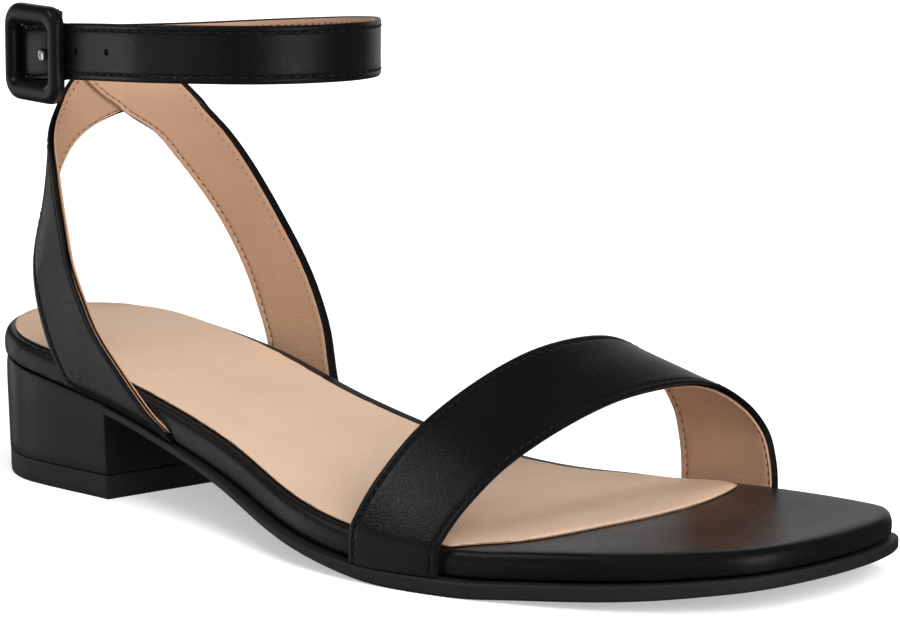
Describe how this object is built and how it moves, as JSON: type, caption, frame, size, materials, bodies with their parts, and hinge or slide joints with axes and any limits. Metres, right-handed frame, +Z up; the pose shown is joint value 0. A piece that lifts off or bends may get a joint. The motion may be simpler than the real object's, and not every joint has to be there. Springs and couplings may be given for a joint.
{
  "type": "block heel sandal",
  "caption": "Low block heel sandal with an open toe, one forefoot strap, heel straps that rise to a buckled ankle strap, a padded footbed and a lined insole",
  "frame": {"origin": "on the floor, under the middle of the heel", "axes": "+X from the heel to the toe, +Y to the medial side of this right shoe, +Z up; the floor is at Z = 0"},
  "size_m": [0.2461, 0.0965, 0.1232],
  "materials": {
    "outsole": "smooth black synthetic sole with a satin edge",
    "footbed": "black satin leather wrapped over a padded board",
    "sock": "matte tan lining leather",
    "heel_block": "black satin leather wrapped over a block",
    "top_lift": "matte black moulded rubber",
    "vamp_strap": "black satin leather with a tan lining and stitched edges",
    "ankle_upper": "black satin leather with a tan lining and stitched edges",
    "buckle_frame": "black leather wrapped over a metal frame",
    "buckle_prong": "bright plated steel"
  },
  "bodies": {
    "root": {"outsole": "outsole", "footbed": "footbed", "sock": "sock", "heel_block": "heel_block", "top_lift": "top_lift", "vamp_strap": "vamp_strap", "ankle_upper": "ankle_upper", "buckle_frame": "buckle_frame", "buckle_prong": "buckle_prong"}
  },
  "joints": []
}
